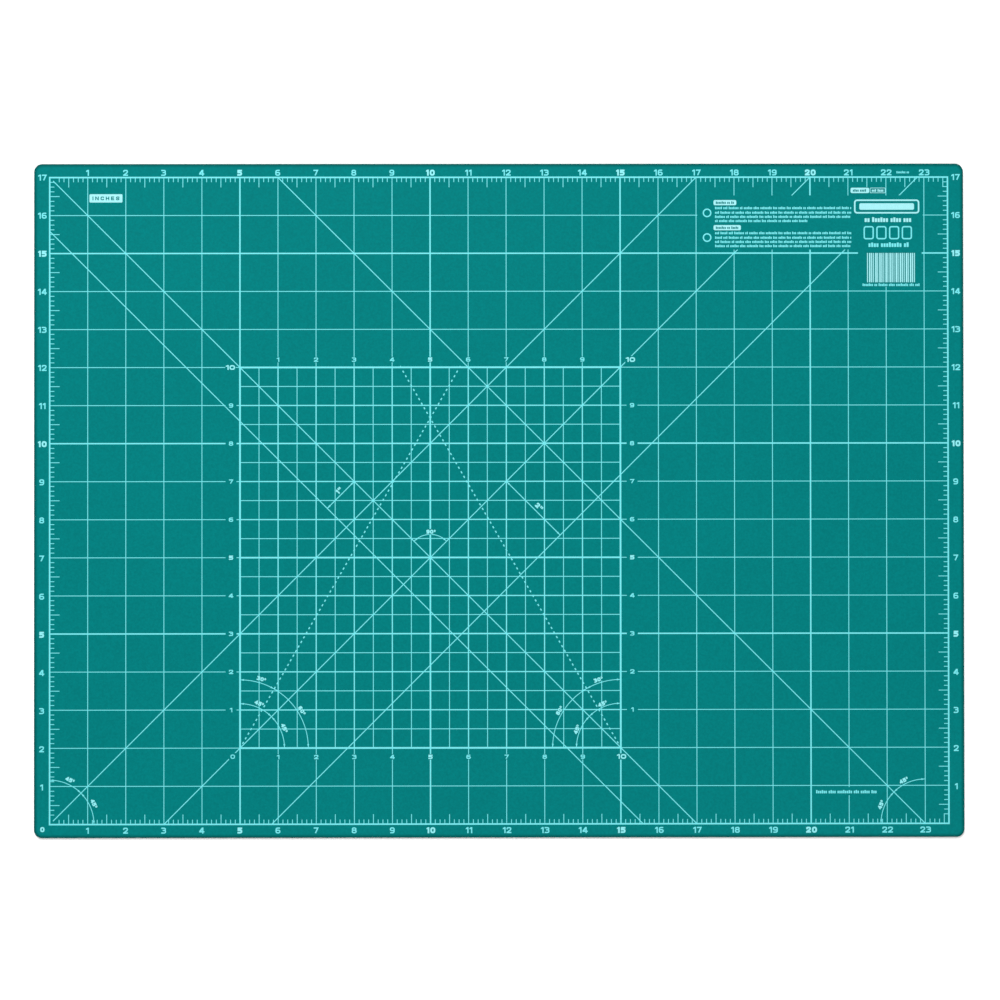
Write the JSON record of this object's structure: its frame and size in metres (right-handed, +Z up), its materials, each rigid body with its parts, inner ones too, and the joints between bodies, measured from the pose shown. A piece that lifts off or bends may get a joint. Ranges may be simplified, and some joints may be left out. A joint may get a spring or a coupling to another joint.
{
  "type": "cutting mat",
  "caption": "Flat self-healing cutting mat of laminated plastic sheets, rectangular with rounded corners, with a printed inch grid for cutting on with a knife.",
  "frame": {"origin": "centre of the underside, on the surface the mat lies on", "axes": "+X along the long side, so that the front ruling reads from left to right along it; +Y across the mat towards the top of the ruling; +Z up out of the front work surface"},
  "size_m": [0.621, 0.45, 0.002],
  "materials": {
    "green_soft_plastic": "matte",
    "core_plastic": "satin",
    "print_ink": "matte"
  },
  "bodies": {
    "root": {"bottom_cutting_sheet": "green_soft_plastic", "hard_core_sheet": "core_plastic", "top_cutting_sheet": "green_soft_plastic"}
  },
  "joints": []
}
